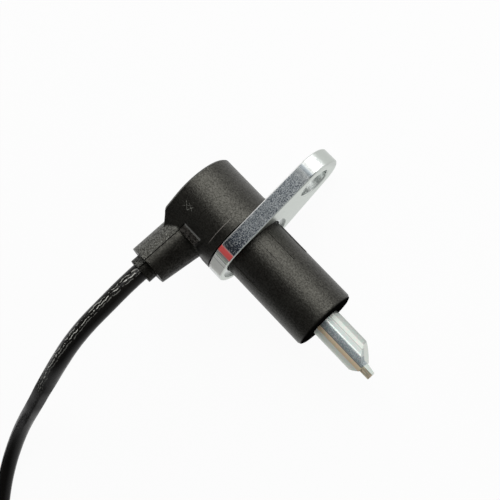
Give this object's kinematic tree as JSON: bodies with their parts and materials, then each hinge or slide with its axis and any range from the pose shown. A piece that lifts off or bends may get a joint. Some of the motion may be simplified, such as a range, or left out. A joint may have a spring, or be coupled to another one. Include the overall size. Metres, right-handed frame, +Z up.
{
  "type": "wheel speed sensor",
  "caption": "Wheel speed sensor for an anti-lock brake: steel flange on a black moulded body with a chisel-ended pole pin, and a coiled two-core cable with a shrouded plug.",
  "frame": {"origin": "centre of the sensor's footprint on the table, at the height of the table", "axes": "+X along the sensor towards the pole pin's tip, +Y towards the bolt hole, +Z up from the table"},
  "size_m": [0.1075, 0.2413, 0.0381],
  "materials": {
    "body_moulding": "fine grained, satin",
    "flange_zinc": "zinc plated, speckled",
    "pin_steel": "ground",
    "bobbin_moulding": "satin",
    "winding_copper": "enamelled copper wire",
    "magnet_dark": "sintered",
    "terminal_tin": "tin plated, dull",
    "core_insulation": "satin",
    "cable_jacket": "glossy",
    "tie_strap": "satin",
    "boot_rubber": "matte",
    "seal_rubber": "matte",
    "housing_moulding": "satin",
    "lock_moulding": "satin"
  },
  "bodies": {
    "root": {"sensor_body": "body_moulding", "mounting_flange": "flange_zinc", "pole_pin": "pin_steel", "coil_bobbin": "bobbin_moulding", "coil_winding": "winding_copper", "permanent_magnet": "magnet_dark", "bobbin_terminal_1": "terminal_tin", "bobbin_terminal_2": "terminal_tin", "crimp_sleeve_1": "terminal_tin", "crimp_sleeve_2": "terminal_tin", "sensor_wire_1": "core_insulation", "sensor_wire_2": "core_insulation", "cable_run": "cable_jacket", "cable_coil": "cable_jacket", "cable_tail": "cable_jacket", "cable_tie_1": "tie_strap", "cable_tie_2": "tie_strap", "connector_housing": "housing_moulding", "connector_boot": "boot_rubber", "terminal_lock": "lock_moulding", "connector_terminal_1": "terminal_tin", "connector_terminal_2": "terminal_tin", "connector_wire_1": "core_insulation", "connector_wire_2": "core_insulation", "wire_seal_1": "seal_rubber", "wire_seal_2": "seal_rubber"}
  },
  "joints": []
}
